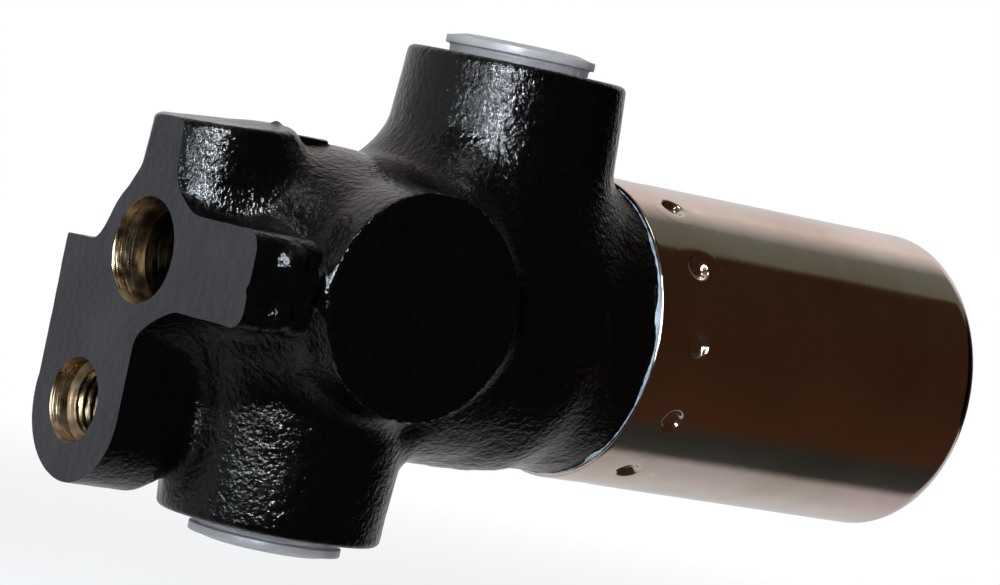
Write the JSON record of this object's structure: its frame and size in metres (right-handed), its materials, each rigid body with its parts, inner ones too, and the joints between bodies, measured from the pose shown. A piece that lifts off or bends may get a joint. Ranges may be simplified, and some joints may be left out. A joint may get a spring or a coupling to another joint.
{
  "type": "brake pressure reducing valve",
  "caption": "Air brake pressure reducing valve: cast body with a mounting flange and plugged port bosses, and a plated spring can staked over its end.",
  "frame": {"origin": "centre of the locating counterbore in the flat mounting face, on the main axis of the spring can", "axes": "+X from the mounting face to the closed end of the spring can, +Z to the outlet port, -Y to the blind boss"},
  "size_m": [0.1537, 0.0566, 0.0851],
  "materials": {
    "body_paint": "gloss black paint over sand-cast iron",
    "plated_steel": "drawn steel, zinc plated and yellow passivated",
    "sealant": "pale bluish sealing compound",
    "plug_plastic": "milky translucent polyethylene",
    "spring_steel": "oiled spring steel",
    "plate_steel": "zinc plated steel sheet",
    "piston_alloy": "turned and anodised",
    "black_rubber": "nitrile rubber",
    "guide_plastic": "off-white guide band",
    "brass": "turned brass"
  },
  "bodies": {
    "housing": {"valve_body": "body_paint", "spring_can": "plated_steel", "joint_sealant": "sealant", "main_spring": "spring_steel", "can_spring_seat": "plate_steel", "adjusting_shims": "plate_steel", "stem_guide": "brass", "stem_guide_retaining_ring": "spring_steel", "valve_seat_ring": "brass", "seat_o_ring": "black_rubber", "seat_retaining_ring": "spring_steel", "poppet_spring": "spring_steel", "poppet_guide": "brass", "poppet_o_ring": "black_rubber"},
    "piston": {"control_piston": "piston_alloy", "piston_o_ring": "black_rubber", "piston_guide_ring": "guide_plastic", "piston_spring_plate": "plate_steel"},
    "poppet": {"valve_poppet": "brass", "poppet_seal_disc": "black_rubber"},
    "top_plug": {"top_port_plug": "plug_plastic"},
    "bottom_plug": {"bottom_port_plug": "plug_plastic"}
  },
  "joints": [
    {"name": "piston_slide", "type": "slide", "parent": "housing", "child": "piston", "axis": [1, 0, 0], "range_m": [0, 0.0035], "stiffness_N_per_m": 2000, "springref_m": -0.002, "deforming": ["main_spring"]},
    {"name": "poppet_slide", "type": "slide", "parent": "housing", "child": "poppet", "axis": [1, 0, 0], "range_m": [0, 0.002], "deforming": ["poppet_spring"]},
    {"name": "top_plug_pull", "type": "slide", "parent": "housing", "child": "top_plug", "axis": [0, 0, 1], "range_m": [0, 0.06]},
    {"name": "bottom_plug_pull", "type": "slide", "parent": "housing", "child": "bottom_plug", "axis": [0, 0, -1], "range_m": [0, 0.06]}
  ],
  "couplings": [
    {"joint": "poppet_slide", "follows": "piston_slide", "ratio": 0.57143}
  ]
}
